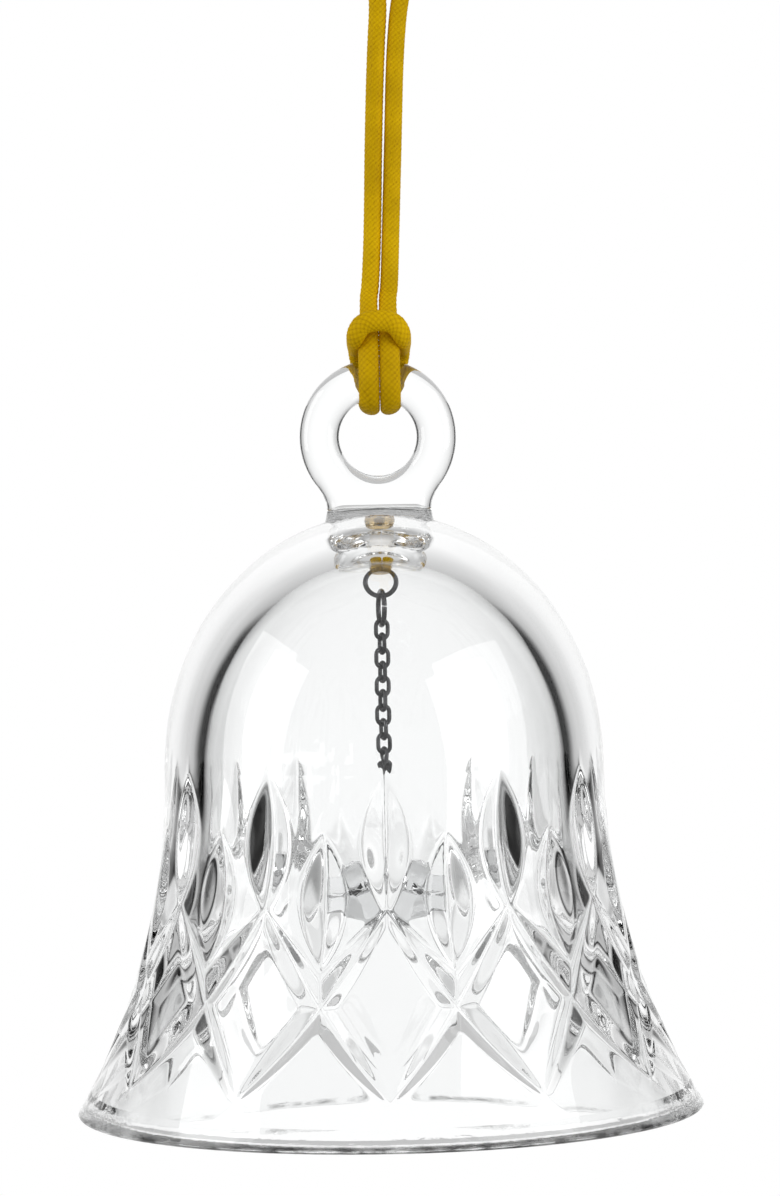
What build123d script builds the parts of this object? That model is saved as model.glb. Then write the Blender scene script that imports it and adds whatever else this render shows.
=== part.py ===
from build123d import *
import os
from math import cos, radians, sin, sqrt, tan

# A hanging bell of cut clear glass, on a yellow cord, with a glass bead clapper on a fine steel chain.
# All sizes are in millimetres. Heights are counted up from the ground rim of the bell, and x and y from the
# bell's own axis. The frame's zero is the point that bears on the hook, under the knot at the cord's top.

# Bell shell: an elliptical dome that runs, below its widest point, into a flare of one arc.
RIM_RADIUS = 31.3
RIM_WALL = 2.1
RIM_EDGE_ROUND = 0.5
SHOULDER_HEIGHT = 34.5
OUTER_SHOULDER = 21.9
INNER_SHOULDER = 17.7
OUTER_DOME_RISE = 25.0
INNER_DOME_RISE = 20.3
# How far a cubic curve's handles reach towards the corner to draw a quarter of an ellipse.
ELLIPSE_PULL = 0.5523

# Wheel cuts: twelve round the bell, half a pitch apart in two staggered rows, and mitre cuts that cross below.
CUTS_ROUND = 12
WHEEL_EDGE_ANGLE = 120
WHEEL_EDGE_HEIGHT = 2.5
OLIVE_WHEEL_RADIUS = 14.0
OLIVE_WHEEL_SWEEP = 100
OLIVE_DEPTH = 1.21
UPPER_OLIVE_ENDS = (34.2, 21.4)
LOWER_OLIVE_ENDS = (28.5, 16.2)
MITRE_WHEEL_RADIUS = 88.0
MITRE_WHEEL_SWEEP = 30
MITRE_DEPTH = 1.0
MITRE_ENDS = (22.0, 4.4)

# Loop handle: a flattened glass ring on a short neck with a flared foot.
RING_HEIGHT = 67.1
RING_OUTER = 7.8
RING_HOLE = 3.87
RING_DEPTH = 4.6
RING_EDGE_ROUND = 1.6
NECK_WIDTH = 10.3
NECK_FILLET = 1.0
NECK_TOP = 60.6
FOOT_BASE = 57.0
FOOT_WIDTH = 11.8
FOOT_DEPTH = 12.6
FOOT_CORNER = 5.3

# Anchor: a wire eye cemented into a blind hole in the crown.
ANCHOR_HOLE_RADIUS = 1.2
ANCHOR_HOLE_TOP = 56.1
CEMENT_BOTTOM = 54.0
CEMENT_NECK_RADIUS = 1.1
CEMENT_ROUND = 0.3
CEMENT_OVERLAP = 0.5
EYE_WIRE = 0.5
EYE_RADIUS = 1.55
EYE_HEIGHT = 53.0
STEM_TOP = 55.6

# Chain: a split jump ring and small oval links, each a quarter turn from the last. The ring and the chain hang a
# little turned about the bell's axis.
WIRE_GAP = 0.04
JUMP_TURN = 10
CHAIN_TURN = 22
JUMP_RADIUS = 1.8
SPLIT_WIDTH = 0.14
SPLIT_SLANT = 18
SPLIT_CUTTER = 2.0
LINKS = 15
LINK_WIRE = 0.42
LINK_WIDTH = 1.7
LINK_LENGTH = 2.31

# Clapper: a faceted glass bead on a head pin, whose eye hangs from the last link.
PIN_WIRE = 0.5
PIN_EYE_RADIUS = 0.85
PIN_HEAD_RADIUS = 0.9
PIN_HEAD_THICKNESS = 0.45
PIN_HEAD_ROUND = 0.27
BEAD_TOP = 25.0
BEAD_BOTTOM = 19.4
BEAD_RADIUS = 6.2
BEAD_GIRDLE_RADIUS = 6.05
BEAD_BORE = 0.9
BEAD_FACETS = 12
BEAD_SLOPE = 43

# Cord: waxed braid, doubled through the loop handle in a lark's head hitch, and knotted above the hook.
CORD = 1.75
HOOK_HEIGHT = 121.8
HOOK_OFFSET = 2.4
HITCH_OFFSET = 0.3
HITCH_TOP = 81.2
STRAND_BOTTOM = 82.0
BAR_CLEARANCE = 0.3
HITCH_DROP = 0.35
KNOT_RADIUS = 2.7
KNOT_HEIGHT = 5.6
KNOT_ROUND = 0.9
TAIL_LENGTH = 5.5
# The runs down the front and up the back of the ring's bar, and the turn under it, all clear it by the same gap.
FRONT_RUN_Y = -(RING_DEPTH / 2 + BAR_CLEARANCE + CORD / 2)
HITCH_BOTTOM = RING_HEIGHT + RING_HOLE - HITCH_DROP - BAR_CLEARANCE - CORD / 2
WRAP_RADIUS = RING_EDGE_ROUND + BAR_CLEARANCE + CORD / 2

# The bell's axis stands a little to one side of the hook, because the hitch isn't quite at the ring's middle.
rim_centre = Vector(-HOOK_OFFSET, 0, -HOOK_HEIGHT)
front = Plane(origin=rim_centre, x_dir=(1, 0, 0), z_dir=(0, -1, 0))
side = Plane(origin=rim_centre, x_dir=(0, 1, 0), z_dir=(1, 0, 0))
bell_axis = Axis(origin=rim_centre, direction=(0, 0, 1))


def level(height):
    """The horizontal plane at this height, centred on the bell's axis."""
    return Plane(origin=at(0, 0, height), z_dir=(0, 0, 1))


def at(x, y, height):
    """A point given from the bell's axis and rim."""
    return rim_centre + Vector(x, y, height)


def turned(plane, turn):
    """The plane turned about the vertical, in degrees."""
    x_dir = plane.x_dir.rotate(Axis.Z, turn)
    z_dir = plane.z_dir.rotate(Axis.Z, turn)
    return Plane(origin=plane.origin, x_dir=x_dir, z_dir=z_dir)


def save(piece, name):
    """Label a finished piece and write its file."""
    piece.label = name
    export_step(piece, f"parts/{name}.step")


# --- Bell shell ---


def flare_radius(shoulder, rim):
    """The radius of the arc that leaves the shoulder upright and passes the rim."""
    spread = rim - shoulder
    return (spread**2 + SHOULDER_HEIGHT**2) / (2 * spread)


def dome_curve(shoulder, rise):
    """A quarter of an ellipse from the shoulder up to the bell's axis, inside a BuildLine."""
    top = SHOULDER_HEIGHT + rise
    upright = (shoulder, SHOULDER_HEIGHT + ELLIPSE_PULL * rise)
    across = (shoulder * ELLIPSE_PULL, top)
    return Bezier((shoulder, SHOULDER_HEIGHT), upright, across, (0, top))


def outer_solid():
    """The bell's outside as a solid, for the shell and for trimming the handle's foot to the dome."""
    flare = flare_radius(OUTER_SHOULDER, RIM_RADIUS)
    with BuildPart() as solid:
        with BuildSketch(front):
            with BuildLine():
                dome = dome_curve(OUTER_SHOULDER, OUTER_DOME_RISE)
                RadiusArc((OUTER_SHOULDER, SHOULDER_HEIGHT), (RIM_RADIUS, 0), -flare)
                Polyline((RIM_RADIUS, 0), (0, 0), dome @ 1)
            make_face()
        revolve(axis=bell_axis)
    return solid.part


def inner_solid():
    """The hollow inside the bell."""
    inner_rim = RIM_RADIUS - RIM_WALL
    flare = flare_radius(INNER_SHOULDER, inner_rim)
    with BuildPart() as solid:
        with BuildSketch(front):
            with BuildLine():
                dome = dome_curve(INNER_SHOULDER, INNER_DOME_RISE)
                RadiusArc((INNER_SHOULDER, SHOULDER_HEIGHT), (inner_rim, 0), -flare)
                Polyline((inner_rim, 0), (0, 0), dome @ 1)
            make_face()
        revolve(axis=bell_axis)
    return solid.part


def wheel_edge(radius, sweep_angle):
    """The stretch of a grinding wheel's V edge that meets the glass: the axle is Z, and +X faces the glass."""
    flank = WHEEL_EDGE_HEIGHT * tan(radians(WHEEL_EDGE_ANGLE / 2))
    inner = radius - WHEEL_EDGE_HEIGHT
    start = radians(-sweep_angle / 2)
    start_plane = Plane(
        origin=(0, 0, 0), x_dir=(cos(start), sin(start), 0), z_dir=(sin(start), -cos(start), 0)
    )
    with BuildPart() as edge:
        with BuildSketch(start_plane):
            with BuildLine():
                Polyline((inner, -flank), (radius, 0), (inner, flank), close=True)
            make_face()
        revolve(axis=Axis.Z, revolution_arc=sweep_angle)
    return edge.part


def outside_point(azimuth, height):
    """A point of the flare's outside, and the outward normal there. Azimuth 0 faces -Y."""
    flare = flare_radius(OUTER_SHOULDER, RIM_RADIUS)
    drop = SHOULDER_HEIGHT - height
    radius = OUTER_SHOULDER + flare - sqrt(flare**2 - drop**2)
    lean = drop / flare
    out = Vector(sin(radians(azimuth)), -cos(radians(azimuth)), 0)
    point = rim_centre + out * radius + Vector(0, 0, height)
    normal = out * sqrt(1 - lean**2) + Vector(0, 0, lean)
    return point, normal


def wheel_place(first, last, radius, depth):
    """Where the wheel stands for a cut from one end to the other, each given as azimuth and height."""
    middle = [(a + b) / 2 for a, b in zip(first, last)]
    point, normal = outside_point(*middle)
    along = outside_point(*last)[0] - outside_point(*first)[0]
    return Plane(origin=point + normal * (radius - depth), x_dir=-normal, z_dir=normal.cross(along))


def bell_shell():
    pitch = 360 / CUTS_ROUND
    turns = [pitch * n for n in range(CUTS_ROUND)]
    upper = [((turn, UPPER_OLIVE_ENDS[0]), (turn, UPPER_OLIVE_ENDS[1])) for turn in turns]
    lower = [
        ((turn + pitch / 2, LOWER_OLIVE_ENDS[0]), (turn + pitch / 2, LOWER_OLIVE_ENDS[1]))
        for turn in turns
    ]
    right_mitres = [((turn, MITRE_ENDS[0]), (turn + pitch, MITRE_ENDS[1])) for turn in turns]
    left_mitres = [((turn, MITRE_ENDS[0]), (turn - pitch, MITRE_ENDS[1])) for turn in turns]
    outside = outer_solid()
    inside = inner_solid()
    olive_wheel = wheel_edge(OLIVE_WHEEL_RADIUS, OLIVE_WHEEL_SWEEP)
    mitre_wheel = wheel_edge(MITRE_WHEEL_RADIUS, MITRE_WHEEL_SWEEP)
    with BuildPart() as shell:
        add(outside)
        add(inside, mode=Mode.SUBTRACT)
        fillet(shell.edges().group_by(Axis.Z)[0], radius=RIM_EDGE_ROUND)
        with BuildSketch(level(0)):
            Circle(ANCHOR_HOLE_RADIUS)
        extrude(amount=ANCHOR_HOLE_TOP, mode=Mode.SUBTRACT)
        for cuts in (upper, lower):
            with Locations(*[wheel_place(*ends, OLIVE_WHEEL_RADIUS, OLIVE_DEPTH) for ends in cuts]):
                add(olive_wheel, mode=Mode.SUBTRACT)
        for cuts in (right_mitres, left_mitres):
            with Locations(*[wheel_place(*ends, MITRE_WHEEL_RADIUS, MITRE_DEPTH) for ends in cuts]):
                add(mitre_wheel, mode=Mode.SUBTRACT)
    return shell.part


# --- Loop handle ---


def loop_handle():
    """A ring with a neck, rounded all over, on a foot that flares to the front and back to meet the dome."""
    dome = outer_solid()
    with BuildPart() as handle:
        with BuildSketch(front) as face:
            with Locations((0, RING_HEIGHT)):
                Circle(RING_OUTER)
            with Locations((0, (FOOT_BASE + RING_HEIGHT) / 2)):
                Rectangle(NECK_WIDTH, RING_HEIGHT - FOOT_BASE)
            waist = face.vertices().sort_by(Axis.Y)[2:4]
            fillet(waist, radius=NECK_FILLET)
            with Locations((0, RING_HEIGHT)):
                Circle(RING_HOLE, mode=Mode.SUBTRACT)
        extrude(amount=RING_DEPTH / 2, both=True)
        rims = handle.edges().filter_by(lambda e: abs(abs(e.center().Y) - RING_DEPTH / 2) < 0.01)
        fillet(rims.filter_by(lambda e: e.center().Z > at(0, 0, FOOT_BASE + 0.1).Z), radius=RING_EDGE_ROUND)
        with BuildSketch(level(NECK_TOP)):
            RectangleRounded(NECK_WIDTH, RING_DEPTH, RING_EDGE_ROUND)
        with BuildSketch(level(FOOT_BASE)):
            RectangleRounded(FOOT_WIDTH, FOOT_DEPTH, FOOT_CORNER)
        loft()
        add(dome, mode=Mode.SUBTRACT)
    return handle.part


# --- Anchor, jump ring and chain ---


def anchor_eye():
    """A wire eye, facing the front, with a straight stem up into the crown."""
    with BuildPart(front) as eye:
        with Locations((0, EYE_HEIGHT, 0)):
            Torus(EYE_RADIUS, EYE_WIRE / 2)
        with BuildSketch(level(EYE_HEIGHT + EYE_RADIUS)):
            Circle(EYE_WIRE / 2)
        extrude(amount=STEM_TOP - EYE_HEIGHT - EYE_RADIUS)
    return eye.part


def anchor_cement():
    """Cement that fills the blind hole and stands a little proud of the crown, round the eye's stem."""
    crown = SHOULDER_HEIGHT + INNER_DOME_RISE
    eye = anchor_eye()
    hollow = inner_solid()
    with BuildPart() as cement:
        with BuildSketch(level(crown - CEMENT_OVERLAP)):
            Circle(ANCHOR_HOLE_RADIUS)
        extrude(amount=ANCHOR_HOLE_TOP - crown + CEMENT_OVERLAP)
        add(hollow, mode=Mode.SUBTRACT)
        with BuildSketch(level(CEMENT_BOTTOM)):
            Circle(CEMENT_NECK_RADIUS)
        extrude(amount=crown - CEMENT_BOTTOM)
        fillet(cement.edges().group_by(Axis.Z)[0], radius=CEMENT_ROUND)
        add(eye, mode=Mode.SUBTRACT)
    return cement.part


def jump_ring(top):
    """A round split ring hanging from the eye, nearly in the side plane. The split slants across its front."""
    middle = top - JUMP_RADIUS
    with BuildPart(turned(side, JUMP_TURN)) as ring:
        with Locations((0, middle, 0)):
            Torus(JUMP_RADIUS, EYE_WIRE / 2)
        with Locations((-JUMP_RADIUS, middle, 0)):
            Box(SPLIT_CUTTER, SPLIT_WIDTH, SPLIT_CUTTER, rotation=(0, 0, SPLIT_SLANT), mode=Mode.SUBTRACT)
    return ring.part


def chain_link(plane, bottom):
    """One closed oval link in a plane, given the height of its bottom bar's centreline."""
    bend = (LINK_WIDTH - LINK_WIRE) / 2
    straight = LINK_LENGTH - LINK_WIDTH
    low = bottom + bend
    with BuildPart() as link:
        with BuildLine(plane) as oval:
            Line((bend, low), (bend, low + straight))
            CenterArc((0, low + straight), bend, 0, 180)
            Line((-bend, low + straight), (-bend, low))
            CenterArc((0, low), bend, 180, 180)
        with BuildSketch(Plane(origin=plane.from_local_coords((bend, low, 0)), z_dir=(0, 0, 1))):
            Circle(LINK_WIRE / 2)
        sweep(path=oval.wires()[0])
    return link.part


# --- Clapper ---


def clapper_pin(eye_top):
    """A head pin: an eye square to the last link, a shank down through the bead, and a head under it."""
    middle = eye_top - PIN_EYE_RADIUS
    head_bottom = BEAD_BOTTOM - PIN_HEAD_THICKNESS
    with BuildPart(turned(side, CHAIN_TURN)) as pin:
        with Locations((0, middle, 0)):
            Torus(PIN_EYE_RADIUS, PIN_WIRE / 2)
        with BuildSketch(level(head_bottom)):
            Circle(PIN_WIRE / 2)
        extrude(amount=middle - PIN_EYE_RADIUS - head_bottom)
        with BuildSketch(level(head_bottom)):
            Circle(PIN_HEAD_RADIUS)
        extrude(amount=PIN_HEAD_THICKNESS)
        fillet(pin.edges().group_by(Axis.Z)[0], radius=PIN_HEAD_ROUND)
    return pin.part


def clapper_bead():
    """A faceted bead: twelve sloping facets above and below, with twelve girdle facets half a pitch round."""
    middle = (BEAD_TOP + BEAD_BOTTOM) / 2
    half = (BEAD_TOP - BEAD_BOTTOM) / 2
    with BuildPart() as bead:
        with BuildSketch(level(middle)):
            RegularPolygon(BEAD_RADIUS, BEAD_FACETS)
        extrude(amount=half, taper=BEAD_SLOPE)
        with BuildSketch(level(middle)):
            RegularPolygon(BEAD_RADIUS, BEAD_FACETS)
        extrude(amount=-half, taper=BEAD_SLOPE)
        with BuildSketch(level(BEAD_BOTTOM)):
            RegularPolygon(BEAD_GIRDLE_RADIUS, BEAD_FACETS, rotation=180 / BEAD_FACETS)
        extrude(amount=2 * half, mode=Mode.INTERSECT)
        with BuildSketch(level(BEAD_BOTTOM)):
            Circle(BEAD_BORE / 2)
        extrude(amount=2 * half, mode=Mode.SUBTRACT)
    return bead.part


# --- Cord ---


def bend_radii(points, wraps=()):
    """Each corner's radius: as large as its two runs allow, or that of what the cord wraps there."""
    radii = []
    for n in range(1, len(points) - 1):
        before = points[n] - points[n - 1]
        after = points[n + 1] - points[n]
        half_turn = radians(before.get_angle(after)) / 2
        radii.append(0.45 * min(before.length, after.length) / tan(half_turn))
    for n, radius in wraps:
        radii[n - 1] = radius
    return radii


def cord_tube(points, name, wraps=()):
    """A cord along these points: straight runs joined by tangent arcs."""
    radii = bend_radii(points, wraps)
    with BuildPart() as tube:
        with BuildLine() as route:
            FilletPolyline(*points, radius=radii)
        path = route.wires()[0]
        with BuildSketch(Plane(origin=path @ 0, z_dir=path % 0)):
            Circle(CORD / 2)
        sweep(path=path)
    print(name, "radii", [round(radius, 2) for radius in radii])
    return tube.part


def cord_hitch():
    """The lark's head: each strand comes down the front of the bar, under it, up behind and out to a side lobe,
    and the two lobes join in the bight that holds both strands down at the front."""
    half = [
        (0.95, 0.0, HITCH_TOP),
        (0.95, -1.0, 78.9),
        (1.0, FRONT_RUN_Y, 75.6),
        (1.0, FRONT_RUN_Y, HITCH_BOTTOM),
        (1.0, -FRONT_RUN_Y, HITCH_BOTTOM),
        (1.9, -FRONT_RUN_Y, 74.9),
        (2.85, 1.3, 77.5),
        (2.95, -2.2, 77.7),
        (1.6, -4.0, 78.5),
    ]
    right = [at(HITCH_OFFSET + x, y, height) for x, y, height in half]
    left = [at(HITCH_OFFSET - x, y, height) for x, y, height in half]
    route = right + left[::-1]
    wraps = [(n, WRAP_RADIUS) for n in (3, 4, len(route) - 5, len(route) - 4)]
    return cord_tube(route, "cord_hitch", wraps)


def cord_strand(way):
    """One of the two strands, 1 for the +X one. They lean over to the hook and part round it under the knot."""
    route = [
        (0.5, 0.95, 0.0, STRAND_BOTTOM),
        (0.79, 0.9, 0.08, 87.5),
        (1.12, 0.98, -0.06, 96.5),
        (1.5, 0.96, 0.08, 105.5),
        (2.05, 1.05, -0.04, 111.5),
        (2.25, 2.1, 0.0, 114.2),
        (2.4, 2.9, 0.0, 117.2),
        (2.4, 1.6, 0.0, 120.1),
        (2.4, 1.6, 0.0, HOOK_HEIGHT),
    ]
    name = "cord_strand_right" if way > 0 else "cord_strand_left"
    return cord_tube([at(middle + way * spread, y, height) for middle, spread, y, height in route], name)


def cord_knot():
    """The outer shape of the wrapped knot."""
    with BuildPart() as knot:
        with BuildSketch(level(HOOK_HEIGHT)):
            with Locations((HOOK_OFFSET, 0)):
                Circle(KNOT_RADIUS)
        extrude(amount=KNOT_HEIGHT)
        fillet(knot.edges().filter_by(GeomType.CIRCLE), radius=KNOT_ROUND)
    return knot.part


def cord_tail(way):
    """A short free end above the knot, 1 for the +X one."""
    base = HOOK_HEIGHT + KNOT_HEIGHT
    route = [
        (0.95, 0.0, base),
        (0.95, 0.0, base + 1.6),
        (1.6, 0.3 * way, base + 1.6 + TAIL_LENGTH / 2),
        (2.9, 0.4 * way, base + 1.6 + TAIL_LENGTH),
    ]
    name = "cord_tail_right" if way > 0 else "cord_tail_left"
    return cord_tube([at(HOOK_OFFSET + way * x, y, height) for x, y, height in route], name)


os.makedirs("parts", exist_ok=True)

save(bell_shell(), "bell_shell")
save(loop_handle(), "loop_handle")
save(anchor_cement(), "anchor_cement")
save(anchor_eye(), "anchor_eye")

jump_top = EYE_HEIGHT - EYE_RADIUS + EYE_WIRE + WIRE_GAP
save(jump_ring(jump_top), "jump_ring")

hang_height = jump_top - 2 * JUMP_RADIUS
hang_wire = EYE_WIRE
for n in range(1, LINKS + 1):
    link_top = hang_height + (hang_wire + LINK_WIRE) / 2 + WIRE_GAP
    link_bottom = link_top - LINK_LENGTH + LINK_WIRE
    link_plane = turned(front if n % 2 else side, CHAIN_TURN)
    save(chain_link(link_plane, link_bottom), f"chain_link_{n:02d}")
    hang_height = link_bottom
    hang_wire = LINK_WIRE

save(clapper_pin(hang_height + (LINK_WIRE + PIN_WIRE) / 2 + WIRE_GAP), "clapper_pin")
save(clapper_bead(), "clapper_bead")

save(cord_hitch(), "cord_hitch")
save(cord_strand(-1), "cord_strand_left")
save(cord_strand(1), "cord_strand_right")
save(cord_knot(), "cord_knot")
save(cord_tail(-1), "cord_tail_left")
save(cord_tail(1), "cord_tail_right")
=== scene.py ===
from math import cos, pi, radians, sin, sqrt

import bpy
import numpy as np
from mathutils import Matrix, Vector


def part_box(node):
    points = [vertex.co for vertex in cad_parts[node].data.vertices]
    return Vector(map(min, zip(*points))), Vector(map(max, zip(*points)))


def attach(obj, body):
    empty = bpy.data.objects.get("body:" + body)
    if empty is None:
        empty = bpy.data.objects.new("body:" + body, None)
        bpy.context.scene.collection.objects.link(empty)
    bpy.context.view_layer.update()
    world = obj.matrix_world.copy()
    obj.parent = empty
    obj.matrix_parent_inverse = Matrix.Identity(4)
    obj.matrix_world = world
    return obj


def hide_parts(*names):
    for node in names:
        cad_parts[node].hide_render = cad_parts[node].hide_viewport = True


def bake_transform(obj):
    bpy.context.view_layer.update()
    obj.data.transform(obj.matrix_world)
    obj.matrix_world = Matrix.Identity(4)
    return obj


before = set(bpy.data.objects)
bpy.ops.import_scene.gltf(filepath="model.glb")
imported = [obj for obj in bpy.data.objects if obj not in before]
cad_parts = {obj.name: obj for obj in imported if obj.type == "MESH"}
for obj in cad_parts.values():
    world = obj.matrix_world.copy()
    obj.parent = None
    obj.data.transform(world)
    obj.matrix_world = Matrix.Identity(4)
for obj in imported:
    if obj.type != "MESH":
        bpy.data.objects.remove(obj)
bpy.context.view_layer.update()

# A hanging cut-glass bell. Lengths in the constants are millimetres, heights are counted up from the
# ground rim, and x and y from the bell's own axis. at() turns such a place into the frame's metres.
MM = 0.001

# The bell's outside and inside: an elliptical dome over a flare of one arc.
SHOULDER_HEIGHT = 34.5
OUTER_SHOULDER = 21.9
INNER_SHOULDER = 17.7
OUTER_DOME_RISE = 25.0
INNER_DOME_RISE = 20.3
RIM_RADIUS = 31.3
RIM_WALL = 2.1
RIM_ROUND = 0.5

# The wheel cuts: olives in two rows half a pitch apart, and mitres that cross below them. An olive has the
# height of its middle, its depth, and its reach, which is half its length along the glass.
CUTS_AROUND = 12
UPPER_OLIVE = (27.85, 1.21, 6.5)
LOWER_OLIVE = (22.5, 1.18, 6.15)
MITRE_TOP = 21.8
MITRE_BOTTOM = 4.3
MITRE_DEPTH = 0.78
MITRE_REACH = 11.8
FLANK_SLOPE = 0.577
CUT_BOTTOM_ROUND = 0.13
RIDGE_POLISH = 0.12
EDGE_POLISH = 0.14

# The loop handle.
RING_HEIGHT = 67.1
RING_OUTER = 7.8
RING_HOLE = 3.87
RING_DEPTH = 4.6
RING_EDGE_ROUND = 1.6
NECK_HALF_WIDTH = 5.15
NECK_BLEND = 1.0
FOOT_HEIGHT = 58.3
HANDLE_BOTTOM = 57.2
HANDLE_CELL = 0.17

# The cord.
CORD = 1.78
HOOK_OFFSET = 2.4
HITCH_OFFSET = 0.3
STRAND_BOTTOM = 82.0
HOOK_HEIGHT = 121.8
FRONT_RUN_Y = -3.1
HITCH_BOTTOM = 70.1
KNOT_TOP = HOOK_HEIGHT + 5.6
BRAID_CARRIERS = 10
BRAID_LAY = 2.7
BRAID_RELIEF = 0.07

# The camera and the stage.
CAMERA_DISTANCE = 370
CAMERA_HEIGHT = 51
CAMERA_ROLL = 1.15
FLOOR_RADIUS = 520
FLOOR_BELOW = 95

# The studio is the same to the left and to the right. Bearings are degrees from straight behind the bell.
BACKDROP_EDGE = 46
BACKDROP_FALL = 57  # the bearing at which the backdrop's fall-off would reach black
CARD_EDGES = (56, 67)  # a grey card each side, past a black gap
CARD_TONE = 0.47
ROOM_EDGE = 82  # the dim room beside and behind the camera, past black flags
ROOM_TONE = 0.5
OVERHEAD_TONE = 0.38
BELOW_TONE = 0.34
STUDIO_STRENGTH = 1.07

shell_low, shell_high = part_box("bell_shell")
RIM_CENTRE = Vector(((shell_low.x + shell_high.x) / 2, (shell_low.y + shell_high.y) / 2, shell_low.z))


def at(x, y, height):
    """A place on or about the bell, in the frame's metres."""
    return RIM_CENTRE + Vector((x, y, height)) * MM


# ---------------------------------------------------------------- camera


def make_camera():
    """Level, far off and a little rolled."""
    data = bpy.data.cameras.new("camera")
    data.sensor_fit = "VERTICAL"
    data.sensor_height = 36
    data.lens = 111.4
    data.clip_start = 0.01
    camera = bpy.data.objects.new("camera", data)
    bpy.context.scene.collection.objects.link(camera)
    roll = Matrix.Rotation(radians(CAMERA_ROLL), 4, "Y")
    level = Matrix.Rotation(pi / 2, 4, "X")
    camera.matrix_world = Matrix.Translation(at(0.9, -CAMERA_DISTANCE, CAMERA_HEIGHT)) @ roll @ level
    bpy.context.scene.camera = camera


make_camera()

# ---------------------------------------------------------------- materials


def material(name):
    """A new material, with its node tree and its Principled shader."""
    made = bpy.data.materials.new(name)
    made.use_nodes = True
    return made, made.node_tree, made.node_tree.nodes["Principled BSDF"]


def noise_node(tree, scale, detail=2.0, stretch=(1, 1, 1)):
    """Noise in the object's own coordinates, in metres times the scale."""
    coordinates = tree.nodes.new("ShaderNodeTexCoord")
    mapping = tree.nodes.new("ShaderNodeMapping")
    mapping.inputs["Scale"].default_value = stretch
    noise = tree.nodes.new("ShaderNodeTexNoise")
    noise.inputs["Scale"].default_value = scale
    noise.inputs["Detail"].default_value = detail
    tree.links.new(coordinates.outputs["Object"], mapping.inputs["Vector"])
    tree.links.new(mapping.outputs["Vector"], noise.inputs["Vector"])
    return noise.outputs["Fac"]


def ramp_node(tree, value, stops):
    """A colour ramp over the value, from (position, colour) stops."""
    ramp = tree.nodes.new("ShaderNodeValToRGB")
    elements = ramp.color_ramp.elements
    while len(elements) < len(stops):
        elements.new(0.5)
    for element, (position, colour) in zip(elements, stops):
        element.position = position
        element.color = (*colour, 1)
    tree.links.new(value, ramp.inputs["Fac"])
    return ramp.outputs["Color"]


def bump_node(tree, shader, value, strength, distance):
    """Raises the surface by a value, up to the distance in metres."""
    bump = tree.nodes.new("ShaderNodeBump")
    bump.inputs["Strength"].default_value = strength
    bump.inputs["Distance"].default_value = distance
    tree.links.new(value, bump.inputs["Height"])
    tree.links.new(bump.outputs["Normal"], shader.inputs["Normal"])


def math_node(tree, operation, first, second=None, third=None):
    """A sum or other operation on up to three values. Each is a node's output or a number."""
    node = tree.nodes.new("ShaderNodeMath")
    node.operation = operation
    for socket, value in zip(node.inputs, (first, second, third)):
        if isinstance(value, (int, float)):
            socket.default_value = value
        elif value is not None:
            tree.links.new(value, socket)
    return node.outputs[0]


def mix_node(tree, factor, first, second):
    """The first colour at 0, the second at 1. Each is a node's output, a colour or a grey tone."""
    node = tree.nodes.new("ShaderNodeMix")
    node.data_type = "RGBA"
    tree.links.new(factor, node.inputs["Factor"])
    for name, value in (("A", first), ("B", second)):
        if isinstance(value, (int, float)):
            node.inputs[name].default_value = (value, value, value, 1)
        elif isinstance(value, tuple):
            node.inputs[name].default_value = (*value, 1)
        else:
            tree.links.new(value, node.inputs[name])
    return node.outputs["Result"]


def split_node(tree, output="Object"):
    """The X, Y and Z of a texture coordinate."""
    coordinates = tree.nodes.new("ShaderNodeTexCoord")
    split = tree.nodes.new("ShaderNodeSeparateXYZ")
    tree.links.new(coordinates.outputs[output], split.inputs["Vector"])
    return split.outputs["X"], split.outputs["Y"], split.outputs["Z"]


def low_band(tree, height, start, full, most=1.0):
    """0 above the start, rising to its most at the full height. Both are millimetres above the rim."""
    band = tree.nodes.new("ShaderNodeMapRange")
    band.inputs["From Min"].default_value = RIM_CENTRE.z + start * MM
    band.inputs["From Max"].default_value = RIM_CENTRE.z + full * MM
    band.inputs["To Max"].default_value = most
    tree.links.new(height, band.inputs["Value"])
    return band.outputs["Result"]


def glass_material(name, ior, waviness, tint=(0.985, 0.99, 0.99)):
    """Clear crystal with the faint waviness of hand polishing."""
    made, tree, shader = material(name)
    shader.inputs["Base Color"].default_value = (*tint, 1)
    shader.inputs["Roughness"].default_value = 0.0
    shader.inputs["IOR"].default_value = ior
    shader.inputs["Transmission Weight"].default_value = 1.0
    bump_node(tree, shader, noise_node(tree, 160, 1.0), waviness, 0.0004)
    return made


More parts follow.
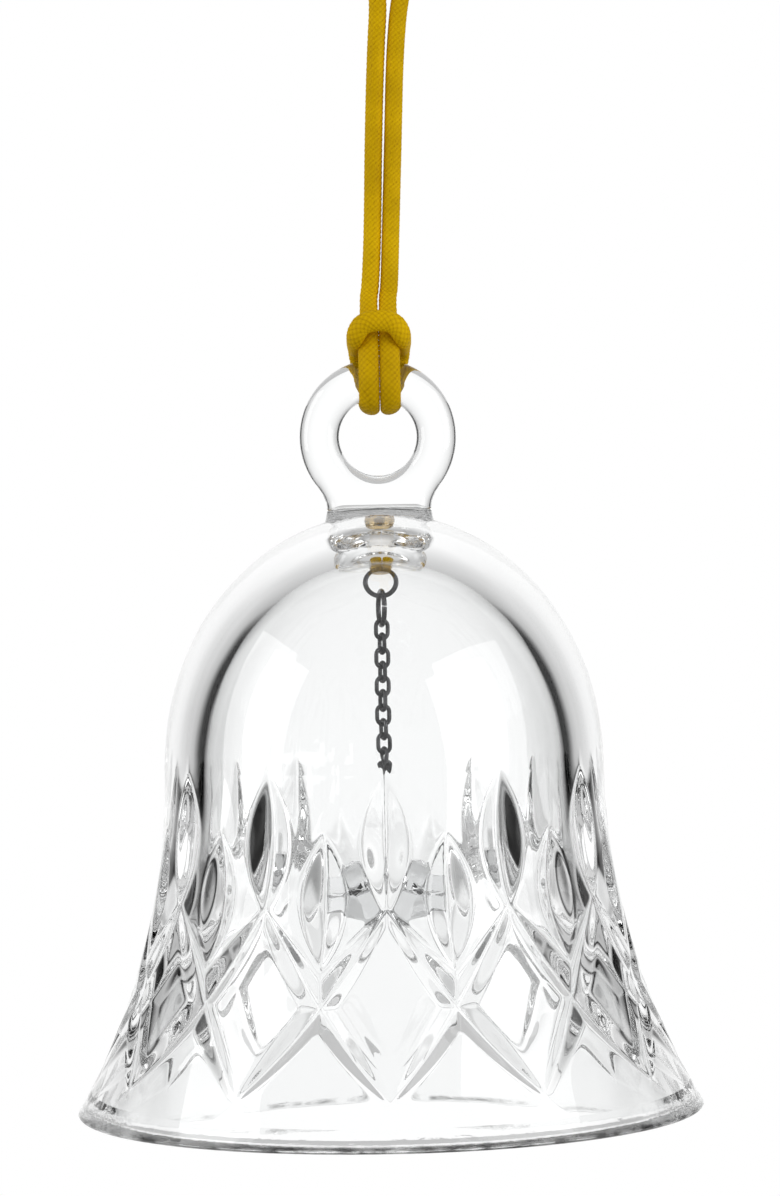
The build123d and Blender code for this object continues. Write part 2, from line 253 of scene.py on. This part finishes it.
def grind_and_shade_rim(made):
    """Roughens the flat of the rim, leaves the edge above it uneven from the grinding, and paints dark
    streaks of shade on its outer edge.
    """
    tree = made.node_tree
    shader = tree.nodes["Principled BSDF"]
    x, y, height = split_node(tree)
    tree.links.new(low_band(tree, height, 0.5, 0.2, 0.22), shader.inputs["Roughness"])
    nicks = noise_node(tree, 330, 4.0, (1, 1, 2.5))
    streaks = math_node(tree, "MULTIPLY", nicks, low_band(tree, height, 1.6, 0.4))
    relief = tree.nodes["Bump"].inputs["Height"]
    waves = relief.links[0].from_socket
    tree.links.new(math_node(tree, "MULTIPLY_ADD", streaks, 60.0, waves), relief)
    clear = tuple(shader.inputs["Base Color"].default_value)[:3]
    # Painted shade: dark mottled streaks in the colour of the rim's outer edge stand in for dark reflections
    # in the glass.
    grain = noise_node(tree, 420, 5.0, (1, 1, 3))
    grey = ramp_node(tree, grain, ((0.42, (0.04, 0.04, 0.04)), (0.6, clear)))
    across = math_node(tree, "ADD", x, -RIM_CENTRE.x)
    away = math_node(tree, "ADD", y, -RIM_CENTRE.y)
    squares = math_node(tree, "MULTIPLY_ADD", across, across, math_node(tree, "MULTIPLY", away, away))
    outer = math_node(tree, "GREATER_THAN", squares, ((RIM_RADIUS - 0.75) * MM) ** 2)
    painted_shade_mask = math_node(tree, "MULTIPLY", low_band(tree, height, 0.9, 0.5), outer)
    tree.links.new(mix_node(tree, painted_shade_mask, clear, grey), shader.inputs["Base Color"])


def metal_material(name, dark, light, roughness):
    """Drawn wire: its tone and polish vary along it in small patches."""
    made, tree, shader = material(name)
    shader.inputs["Metallic"].default_value = 1.0
    tone = ramp_node(tree, noise_node(tree, 900, 4.0), ((0.35, dark), (0.65, light)))
    tree.links.new(tone, shader.inputs["Base Color"])
    smooth, scuffed = (roughness * 0.6,) * 3, (roughness * 1.5,) * 3
    polish = ramp_node(tree, noise_node(tree, 1500, 3.0), ((0.3, smooth), (0.7, scuffed)))
    tree.links.new(polish, shader.inputs["Roughness"])
    bump_node(tree, shader, noise_node(tree, 3000, 2.0), 0.15, 0.00003)
    return made


def cement_material():
    """Amber cement: clear, a little cloudy and slightly glossy."""
    made, tree, shader = material("amber_cement")
    tone = ramp_node(tree, noise_node(tree, 700, 3.0), ((0.3, (0.72, 0.42, 0.09)), (0.7, (0.95, 0.72, 0.3))))
    tree.links.new(tone, shader.inputs["Base Color"])
    shader.inputs["Roughness"].default_value = 0.12
    shader.inputs["IOR"].default_value = 1.5
    shader.inputs["Transmission Weight"].default_value = 0.85
    bump_node(tree, shader, noise_node(tree, 1200, 3.0), 0.3, 0.00008)
    return made


def cord_material():
    """Mustard waxed braid, its colour shaded by its relief: painted shade in the gaps between carriers,
    lighter on top of them.
    """
    made, tree, shader = material("yellow_braid")
    height = tree.nodes.new("ShaderNodeAttribute")
    height.attribute_name = "braid"
    # Painted shade: the colour runs from dark in the braid's gaps to light on the carriers' tops.
    gap, flank, top = (0.42, 0.22, 0.0008), (0.66, 0.395, 0.0012), (0.84, 0.54, 0.0016)
    carriers = ramp_node(tree, height.outputs["Fac"], ((0.0, gap), (0.35, flank), (1.0, top)))
    dull, fresh = (0.82, 0.8, 0.8), (1.08, 1.08, 1.08)
    patches = ramp_node(tree, noise_node(tree, 240, 3.0), ((0.3, dull), (0.7, fresh)))
    mix = tree.nodes.new("ShaderNodeMix")
    mix.data_type = "RGBA"
    mix.blend_type = "MULTIPLY"
    mix.inputs["Factor"].default_value = 1.0
    tree.links.new(carriers, mix.inputs["A"])
    tree.links.new(patches, mix.inputs["B"])
    tree.links.new(mix.outputs["Result"], shader.inputs["Base Color"])
    shader.inputs["Roughness"].default_value = 0.6
    shader.inputs["Specular IOR Level"].default_value = 0.05
    lumps = math_node(tree, "MULTIPLY_ADD", noise_node(tree, 900, 3.0), 2.0, noise_node(tree, 5200, 2.0))
    bump_node(tree, shader, lumps, 0.45, 0.00009)
    return made


# ---------------------------------------------------------------- cord


def knot_turns():
    """The right strand's turns round the left one, from under the knot upwards."""
    turns, steps, radius, pitch = 3, 12, 1.8, 1.82
    for n in range(turns * steps + 1):
        angle = 2 * pi * n / steps
        yield HOOK_OFFSET + radius * cos(angle), radius * sin(angle), HOOK_HEIGHT + 0.1 + pitch * n / steps


def cord_route():
    """The whole cord from its left end to its right end, through the knot, the hitch and the knot again."""
    strand = [
        (0.5, 0.95, 0.0, STRAND_BOTTOM),
        (0.79, 0.9, 0.08, 87.5),
        (1.12, 0.98, -0.06, 96.5),
        (1.5, 0.96, 0.08, 105.5),
        (2.05, 1.05, -0.04, 111.5),
        (2.25, 2.1, 0.0, 114.2),
        (2.4, 2.9, 0.0, 117.2),
    ]
    hitch = [
        (0.95, 0.0, 81.2),
        (0.95, -1.0, 78.9),
        (1.04, FRONT_RUN_Y, 75.6),
        (1.04, FRONT_RUN_Y, HITCH_BOTTOM),
        (1.1, -FRONT_RUN_Y, HITCH_BOTTOM),
        (1.7, -FRONT_RUN_Y, 74.0),
        (2.4, 2.2, 76.3),
        (2.5, -1.0, 76.4),
        (2.45, -3.3, 76.9),
        (1.45, -4.1, 78.45),
    ]
    left_end = [(-2.9, -0.4, KNOT_TOP + 7.1), (-1.6, -0.3, KNOT_TOP + 4.3), (-0.5, 0.0, KNOT_TOP + 1.4)]
    left_core = [(0.0, 0.0, KNOT_TOP - 1.2), (0.0, 0.0, HOOK_HEIGHT + 1.2), (-1.1, 0.0, HOOK_HEIGHT - 0.7)]
    right_end = [(1.5, 0.1, KNOT_TOP + 1.3), (1.8, 0.3, KNOT_TOP + 4.3), (2.9, 0.4, KNOT_TOP + 7.1)]
    points = [(HOOK_OFFSET + x, y, h) for x, y, h in left_end + left_core]
    points += [(middle - spread, y, h) for middle, spread, y, h in strand[::-1]]
    points += [(HITCH_OFFSET - x, y, h) for x, y, h in hitch]
    points += [(HITCH_OFFSET + x, y, h) for x, y, h in hitch[::-1]]
    points += [(middle + spread, y, h) for middle, spread, y, h in strand]
    points += [(HOOK_OFFSET + 2.1, 0.0, HOOK_HEIGHT - 1.4)]
    points += list(knot_turns())
    points += [(HOOK_OFFSET + x, y, h) for x, y, h in right_end]
    return [at(*point) for point in points]


def nurbs_path(points, resolution):
    """Close points along the NURBS spline that has these control points."""
    data = bpy.data.curves.new("route", "CURVE")
    data.dimensions = "3D"
    data.resolution_u = resolution
    spline = data.splines.new("NURBS")
    spline.points.add(len(points) - 1)
    for place, point in zip(spline.points, points):
        place.co = (*point, 1)
    spline.order_u = 3
    spline.use_endpoint_u = True
    holder = bpy.data.objects.new("route", data)
    line = bpy.data.meshes.new_from_object(holder)
    path = np.array([v.co[:] for v in line.vertices])
    bpy.data.objects.remove(holder)
    return path


def path_frames(path):
    """Each point's tangent and two normals, carried along without twist, and the length so far."""
    tangents = np.gradient(path, axis=0)
    tangents /= np.linalg.norm(tangents, axis=1)[:, None]
    normals = np.zeros_like(path)
    normal = np.array((0.0, -1.0, 0.0))
    for n, tangent in enumerate(tangents):
        normal = normal - tangent * normal.dot(tangent)
        normal /= np.linalg.norm(normal)
        normals[n] = normal
    steps = np.linalg.norm(np.diff(path, axis=0), axis=1)
    return tangents, normals, np.cross(tangents, normals), np.concatenate(([0], np.cumsum(steps)))


def braid_height(angle, length):
    """0 in the gaps to 1 on the carriers of a tubular braid, over and under by turns."""
    around = BRAID_CARRIERS * angle / (2 * pi)
    advance = BRAID_CARRIERS / 2 * length / (BRAID_LAY * MM)
    first = around + advance
    second = around - advance
    over = (np.floor(first) + np.floor(second)) % 2 == 0
    across = np.where(over, first % 1, second % 1)
    along = np.where(over, second % 1, first % 1)
    return np.sin(pi * across) ** 0.6 * (0.45 + 0.55 * np.sin(pi * along))


def tube_mesh(name, rings, caps):
    """A closed tube from rings of points, with a point to close each end."""
    count, sides = rings.shape[:2]
    vertices = np.concatenate([rings.reshape(-1, 3), caps])
    ring, side = np.meshgrid(np.arange(count - 1), np.arange(sides), indexing="ij")
    after = (side + 1) % sides
    here, there = ring * sides, (ring + 1) * sides
    quads = np.stack([here + side, here + after, there + after, there + side], -1)
    faces = quads.reshape(-1, 4).tolist()
    first, last = count * sides, count * sides + 1
    for n in range(sides):
        faces.append([first, (n + 1) % sides, n])
        faces.append([last, (count - 1) * sides + n, (count - 1) * sides + (n + 1) % sides])
    return mesh_object(name, vertices, faces)


def mesh_object(name, vertices, faces):
    mesh = bpy.data.meshes.new(name)
    mesh.from_pydata(np.asarray(vertices).tolist(), [], faces)
    mesh.validate()
    mesh.shade_smooth()
    made = bpy.data.objects.new(name, mesh)
    bpy.context.scene.collection.objects.link(made)
    return made


def make_cord():
    path = nurbs_path(cord_route(), 40)
    tangents, normals, sides, length = path_frames(path)
    height = (path[:, 2] - RIM_CENTRE.z) / MM
    # Pressed where it is hitched: thinner towards what it bears on, wider across.
    pressed = np.clip((80.2 - height) / 1.5, 0, 1)
    bar_x = np.full(len(path), RIM_CENTRE.x + HITCH_OFFSET * MM)
    bar_y = np.full(len(path), RIM_CENTRE.y)
    bar_z = RIM_CENTRE.z + np.clip(height, 72.9, 78.2) * MM
    out = path - np.stack([bar_x, bar_y, bar_z], 1)
    out -= tangents * np.sum(out * tangents, 1)[:, None]
    out /= np.linalg.norm(out, axis=1)[:, None] + 1e-9
    count = 44
    angle = np.linspace(0, 2 * pi, count, endpoint=False)
    spoke = np.cos(angle)[None, :, None] * normals[:, None] + np.sin(angle)[None, :, None] * sides[:, None]
    braid = braid_height(angle[None, :], length[:, None])
    radius = CORD / 2 * MM + (braid - 0.75) * BRAID_RELIEF * MM
    # Both ends are cut and sealed, and round off in their last stretch.
    to_end = np.minimum(length, length[-1] - length)[:, None] / (0.5 * MM)
    radius = radius * np.sqrt(1 - (1 - np.clip(to_end, 0, 1)) ** 2 * 0.55)
    offset = spoke * radius[..., None]
    towards = np.sum(offset * out[:, None], 2)[..., None] * out[:, None]
    rings = path[:, None] + offset + pressed[:, None, None] * (offset * 0.2 - towards * 0.38)
    piece = tube_mesh("cord_braid", rings, path[[0, -1]])
    values = piece.data.attributes.new("braid", "FLOAT", "POINT")
    values.data.foreach_set("value", np.concatenate([braid.ravel(), (0.5, 0.5)]).astype(np.float32))
    piece.data.materials.append(cord_material())
    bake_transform(piece)
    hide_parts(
        "cord_strand_left",
        "cord_strand_right",
        "cord_hitch",
        "cord_knot",
        "cord_tail_left",
        "cord_tail_right",
    )


make_cord()

# ---------------------------------------------------------------- glass


def flare_arc(shoulder, rim):
    """The radius of the arc that leaves the shoulder upright and passes the rim."""
    spread = rim - shoulder
    return (spread**2 + SHOULDER_HEIGHT**2) / (2 * spread)


def flare_radius(height, shoulder, rim):
    arc = flare_arc(shoulder, rim)
    return shoulder + arc - np.sqrt(arc**2 - (SHOULDER_HEIGHT - height) ** 2)


def dome_rows(shoulder, rise, rows):
    """Radius and height from the shoulder up to just short of the crown."""
    angle = np.linspace(0, pi / 2, rows, endpoint=False)
    return shoulder * np.cos(angle), SHOULDER_HEIGHT + rise * np.sin(angle)


def rounded_max(depths, softness):
    """The deepest of several cuts, with the ridge where two of them meet slightly polished off."""
    deepest = depths[0]
    for depth in depths[1:]:
        deepest = (deepest + depth + np.sqrt((deepest - depth) ** 2 + softness**2)) / 2
    return deepest


def wheel_cut(along, across, depth, reach):
    """How deep a V-edged wheel cuts at a place, given the depth at the cut's middle and its half length."""
    flank = FLANK_SLOPE * (np.sqrt(across**2 + CUT_BOTTOM_ROUND**2) - CUT_BOTTOM_ROUND)
    return depth * (1 - (along / reach) ** 2) - flank


def cut_depth(azimuth, height, radius):
    """The depth of the glass cut away, square to the outside, by the two rows of olives and the mitres."""
    pitch = 2 * pi / CUTS_AROUND
    heights = np.linspace(0, SHOULDER_HEIGHT, 700)
    slopes = np.gradient(flare_radius(heights, OUTER_SHOULDER, RIM_RADIUS), heights)
    lengths = np.cumsum(np.sqrt(1 + slopes**2)) * (heights[1] - heights[0])

    def length_at(place):
        return np.interp(place, heights, lengths)

    def olive(across, middle, depth, reach):
        return wheel_cut(length - length_at(middle), across, depth, reach)

    length = length_at(height)
    turn = np.abs((azimuth + pitch / 2) % pitch - pitch / 2)
    cuts = [olive(radius * turn, *UPPER_OLIVE), olive(radius * (pitch / 2 - turn), *LOWER_OLIVE)]
    top, bottom = length_at(MITRE_TOP), length_at(MITRE_BOTTOM)
    share = (top - length) / (top - bottom)
    for start, way in ((0, 1), (1, -1), (0, -1), (-1, 1)):
        path = pitch * (start + way * share)
        lean = radius * pitch / (top - bottom)
        cosine = 1 / np.sqrt(1 + lean**2)
        across = radius * (turn - path) * cosine
        along = (length - (top + bottom) / 2) / cosine
        cuts.append(wheel_cut(along, across, MITRE_DEPTH, MITRE_REACH))
    deepest = rounded_max(cuts, RIDGE_POLISH)
    return (deepest + np.sqrt(deepest**2 + EDGE_POLISH**2)) / 2 - EDGE_POLISH / 2


def ring_of(radius, height, count):
    azimuth = np.arange(count) * 2 * pi / count
    return np.stack([radius * np.sin(azimuth), -radius * np.cos(azimuth), np.full(count, height)], 1)


def shell_rows():
    """The shell's skin, ring by ring: the outside with its cuts, the ground rim, and a smooth inside."""
    fine, coarse, cut_rows = 1080, 360, 165
    rows = []
    radii, heights = dome_rows(OUTER_SHOULDER, OUTER_DOME_RISE, 44)
    for radius, height in list(zip(radii, heights))[:0:-1]:
        rows.append(ring_of(radius, height, fine))
    azimuth = np.arange(fine) * 2 * pi / fine
    arc = flare_arc(OUTER_SHOULDER, RIM_RADIUS)
    for height in np.linspace(SHOULDER_HEIGHT, RIM_ROUND, cut_rows):
        radius = flare_radius(height, OUTER_SHOULDER, RIM_RADIUS)
        depth = cut_depth(azimuth, np.full(fine, height), radius)
        lean = (SHOULDER_HEIGHT - height) / arc
        row_radius = radius - depth * sqrt(1 - lean**2)
        row_height = height - depth * lean
        rows.append(np.stack([row_radius * np.sin(azimuth), -row_radius * np.cos(azimuth), row_height], 1))
    outer_edge = flare_radius(0, OUTER_SHOULDER, RIM_RADIUS) - 0.12
    inner_rim = RIM_RADIUS - RIM_WALL
    for angle in np.linspace(0, pi / 2, 6)[1:]:
        rows.append(ring_of(outer_edge - RIM_ROUND * (1 - cos(angle)), RIM_ROUND * (1 - sin(angle)), fine))
    inner = []
    inner_edge = flare_radius(RIM_ROUND, INNER_SHOULDER, inner_rim)
    for angle in np.linspace(0, pi / 2, 5):
        inner.append((inner_edge + RIM_ROUND * (1 - sin(angle)), RIM_ROUND * (1 - cos(angle))))
    for height in np.linspace(RIM_ROUND, SHOULDER_HEIGHT, 60)[1:]:
        inner.append((flare_radius(height, INNER_SHOULDER, inner_rim), height))
    radii, heights = dome_rows(INNER_SHOULDER, INNER_DOME_RISE, 44)
    inner += list(zip(radii, heights))[1:]
    rows += [ring_of(radius, height, coarse) for radius, height in inner]
    return rows


def skin_object(name, rows, top, bottom):
    """One mesh through rings of points that may halve or third their count, with a point at both ends."""
    starts = np.concatenate(([0], np.cumsum([len(row) for row in rows])))
    faces = []
    for upper, lower, a, b in zip(rows, rows[1:], starts, starts[1:]):
        count, step = len(lower), len(upper) // len(lower)
        for n in range(count):
            after = (n + 1) % count
            if step == 1:
                faces.append((a + n, b + n, b + after, a + after))
                continue
            for k in range(step):
                near = b + n if k < (step + 1) // 2 else b + after
                faces.append((a + n * step + k, near, a + (n * step + k + 1) % len(upper)))
            middle = (step + 1) // 2
            faces.append((a + (n * step + middle) % len(upper), b + n, b + after))
    first, last = starts[-1], starts[-1] + 1
    for n in range(len(rows[0])):
        faces.append((first, n, (n + 1) % len(rows[0])))
    count = len(rows[-1])
    for n in range(count):
        faces.append((last, starts[-2] + (n + 1) % count, starts[-2] + n))
    vertices = np.concatenate([*rows, [top, bottom]]) * MM + np.array(RIM_CENTRE)
    return mesh_object(name, vertices, faces)


def round_union(first, second, blend):
    """Two solids' distances as one, with a hollow fillet of that radius between them."""
    inside = np.hypot(np.maximum(blend - first, 0), np.maximum(blend - second, 0))
    return np.maximum(blend, np.minimum(first, second)) - inside


def handle_distance(x, y, height):
    """The signed distance to the loop handle: a rounded flat ring on a neck with a flared foot."""
    foot = np.exp(-np.maximum(height - FOOT_HEIGHT, 0) / 0.8)
    x = x / (1 + 0.09 * foot)
    y = y / (1 + 0.95 * foot)
    from_ring = np.hypot(x, height - RING_HEIGHT)
    neck = np.maximum(np.abs(x) - NECK_HALF_WIDTH, height - RING_HEIGHT)
    face = np.maximum(round_union(from_ring - RING_OUTER, neck, NECK_BLEND), RING_HOLE - from_ring)
    side_gap = face + RING_EDGE_ROUND
    front_gap = np.abs(y) - RING_DEPTH / 2 + RING_EDGE_ROUND
    outside = np.hypot(np.maximum(side_gap, 0), np.maximum(front_gap, 0))
    return np.minimum(np.maximum(side_gap, front_gap), 0) + outside - RING_EDGE_ROUND


def gradient(distance, points, step=0.01):
    """The slope of a distance along x, y and height, at each point."""
    slopes = []
    for axis in np.eye(3) * step:
        ahead, behind = points + axis, points - axis
        slopes.append((distance(*ahead.T) - distance(*behind.T)) / (2 * step))
    return np.stack(slopes, 1)


def skin_of(distance, low, high, cell):
    """Points and quads of the surface where a distance is 0, with one point in each cell it crosses."""
    axes = [np.arange(a, b + cell, cell) for a, b in zip(low, high)]
    value = distance(*np.meshgrid(*axes, indexing="ij"))
    shape = np.array(value.shape)
    inside = value < 0
    corners = [tuple(int(bit) for bit in f"{n:03b}") for n in range(8)]
    count = np.zeros(shape - 1)
    for i, j, k in corners:
        count += inside[i : shape[0] - 1 + i, j : shape[1] - 1 + j, k : shape[2] - 1 + k]
    crossed = (count > 0) & (count < 8)
    number = np.full(crossed.shape, -1)
    number[crossed] = np.arange(crossed.sum())
    points = np.array(low) + (np.argwhere(crossed) + 0.5) * cell
    for _ in range(6):
        slope = gradient(distance, points)
        points = points - slope * (distance(*points.T) / (np.sum(slope**2, 1) + 1e-9))[:, None]
    faces = []
    for axis in range(3):
        one, two = [a for a in range(3) if a != axis]
        here = np.take(inside, range(shape[axis] - 1), axis)
        there = np.take(inside, range(1, shape[axis]), axis)
        for flip, changed in ((False, here & ~there), (True, ~here & there)):
            cells = np.argwhere(changed)
            cells = cells[(cells[:, one] > 0) & (cells[:, two] > 0)]
            back_one, back_two = np.zeros(3, int), np.zeros(3, int)
            back_one[one], back_two[two] = 1, 1
            ring = [cells, cells - back_one, cells - back_one - back_two, cells - back_two]
            ring = [number[tuple(c.T)] for c in ring]
            turn = flip != (axis == 1)
            faces += np.stack(ring[::-1] if turn else ring, 1).tolist()
    return points, faces


def make_handle():
    def distance(x, y, height):
        return np.maximum(handle_distance(x, y, height), HANDLE_BOTTOM - height)

    points, faces = skin_of(distance, (-8.2, -5.4, 56.8), (8.2, 5.4, 75.3), HANDLE_CELL)
    return mesh_object("handle_skin", points * MM + np.array(RIM_CENTRE), faces)


def united(piece, other):
    """The piece's mesh with the other solid merged into it."""
    modifier = piece.modifiers.new("union", "BOOLEAN")
    modifier.operation = "UNION"
    modifier.solver = "MANIFOLD"
    modifier.object = other
    bpy.context.view_layer.update()
    graph = bpy.context.evaluated_depsgraph_get()
    mesh = bpy.data.meshes.new_from_object(piece.evaluated_get(graph))
    piece.modifiers.clear()
    piece.data = mesh
    mesh.shade_smooth()
    bpy.data.objects.remove(other)


crystal = glass_material("crystal", 1.545, 0.05)
grind_and_shade_rim(crystal)


def make_glass():
    """Shell and handle are one piece of glass, fused where the foot meets the dome."""
    outer_top = (0, 0, SHOULDER_HEIGHT + OUTER_DOME_RISE)
    inner_top = (0, 0, SHOULDER_HEIGHT + INNER_DOME_RISE)
    piece = skin_object("bell_glass", shell_rows(), outer_top, inner_top)
    united(piece, make_handle())
    piece.data.materials.clear()
    piece.data.materials.append(crystal)
    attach(piece, "bell")
    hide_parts("bell_shell", "loop_handle")


make_glass()

# ---------------------------------------------------------------- small metal, cement and the clapper


def dress(name, made):
    """Gives a CAD node this material."""
    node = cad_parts[name]
    node.data.materials.clear()
    node.data.materials.append(made)


gunmetal = metal_material("gunmetal_wire", (0.03, 0.03, 0.032), (0.11, 0.11, 0.115), 0.2)
for wire in ("anchor_eye", "jump_ring", "clapper_pin"):
    dress(wire, gunmetal)
for number in range(1, 16):
    dress(f"chain_link_{number:02d}", gunmetal)
dress("clapper_bead", glass_material("bead_crystal", 1.55, 0.03, (0.8, 0.805, 0.81)))
dress("anchor_cement", cement_material())

# ---------------------------------------------------------------- stage and light


def make_floor():
    """A pale round paper floor well below the bell, with painted light that makes it lighter to the back."""
    sides = 96
    vertices = [at(0, 0, -FLOOR_BELOW)]
    for angle in np.linspace(0, 2 * pi, sides, endpoint=False):
        vertices.append(at(FLOOR_RADIUS * cos(angle), FLOOR_RADIUS * sin(angle), -FLOOR_BELOW))
    faces = [(0, n, n % sides + 1) for n in range(1, sides + 1)]
    floor = mesh_object("floor", vertices, faces)
    made, tree, shader = material("pale_floor")
    # Painted light: the tone rises towards the back, on top of a random mottle.
    depth = math_node(tree, "MULTIPLY_ADD", split_node(tree)[1], 2.5, 0.3)
    mottle_and_painted_light = math_node(tree, "MULTIPLY_ADD", noise_node(tree, 6, 2.0), 0.1, depth)
    tone = ramp_node(tree, mottle_and_painted_light, ((0.2, (0.5, 0.5, 0.5)), (0.8, (0.95, 0.95, 0.95))))
    tree.links.new(tone, shader.inputs["Base Color"])
    shader.inputs["Roughness"].default_value = 0.7
    floor.data.materials.append(made)


def window(tree, value, low, high, soft):
    """1 between low and high, 0 outside them, with soft edges."""
    rise = math_node(tree, "MULTIPLY_ADD", value, 1 / soft, 0.5 - low / soft)
    fall = math_node(tree, "MULTIPLY_ADD", value, -1 / soft, 0.5 + high / soft)
    rise.node.use_clamp = fall.node.use_clamp = True
    return math_node(tree, "MULTIPLY", rise, fall)


def make_world():
    """A studio: a white backdrop that falls off to its sides, grey cards, black flags and a dim room.

    The camera itself sees plain white behind the bell. The glass refracts and reflects the studio.
    """
    world = bpy.data.worlds.new("studio")
    world.use_nodes = True
    bpy.context.scene.world = world
    tree = world.node_tree
    x, y, up = split_node(tree, "Generated")
    turn = math_node(tree, "ARCTAN2", x, y)
    bearing = math_node(tree, "MULTIPLY", math_node(tree, "ABSOLUTE", turn), 180 / pi)
    fall = math_node(tree, "POWER", math_node(tree, "MULTIPLY", bearing, 1 / BACKDROP_FALL), 2)
    paper = math_node(tree, "SUBTRACT", 1, fall)
    backdrop = math_node(tree, "MULTIPLY", paper, window(tree, bearing, -10, BACKDROP_EDGE, 6))
    card = math_node(tree, "MULTIPLY", window(tree, bearing, *CARD_EDGES, 4), CARD_TONE)
    room = math_node(tree, "MULTIPLY", window(tree, bearing, ROOM_EDGE, 200, 10), ROOM_TONE)
    tones = math_node(tree, "ADD", math_node(tree, "ADD", backdrop, card), room)
    overhead = window(tree, up, 0.72, 2, 0.5)
    below = window(tree, up, -2, -0.62, 0.4)
    colour = mix_node(tree, below, mix_node(tree, overhead, tones, OVERHEAD_TONE), BELOW_TONE)
    light = tree.nodes.new("ShaderNodeLightPath")
    seen = mix_node(tree, light.outputs["Is Camera Ray"], colour, 1 / STUDIO_STRENGTH)
    background = tree.nodes["Background"]
    tree.links.new(seen, background.inputs["Color"])
    background.inputs["Strength"].default_value = STUDIO_STRENGTH


def soft_light(name, place, size, power):
    """A large rectangular softbox at a place, turned to the bell."""
    data = bpy.data.lights.new(name, "AREA")
    data.shape = "RECTANGLE"
    data.size, data.size_y = size[0] * MM, size[1] * MM
    data.energy = power
    lamp = bpy.data.objects.new(name, data)
    bpy.context.scene.collection.objects.link(lamp)
    lamp.location = at(*place)
    aim = at(0, 0, 45) - lamp.location
    lamp.rotation_euler = aim.to_track_quat("-Z", "Y").to_euler()


make_floor()
make_world()
soft_light("left_softbox", (-640, -160, 260), (380, 620), 1.5)
soft_light("right_softbox", (560, -360, 260), (560, 620), 1.9)

scene = bpy.context.scene
scene.view_settings.view_transform = "Standard"
scene.cycles.max_bounces = 28
scene.cycles.transmission_bounces = 28
scene.cycles.glossy_bounces = 12
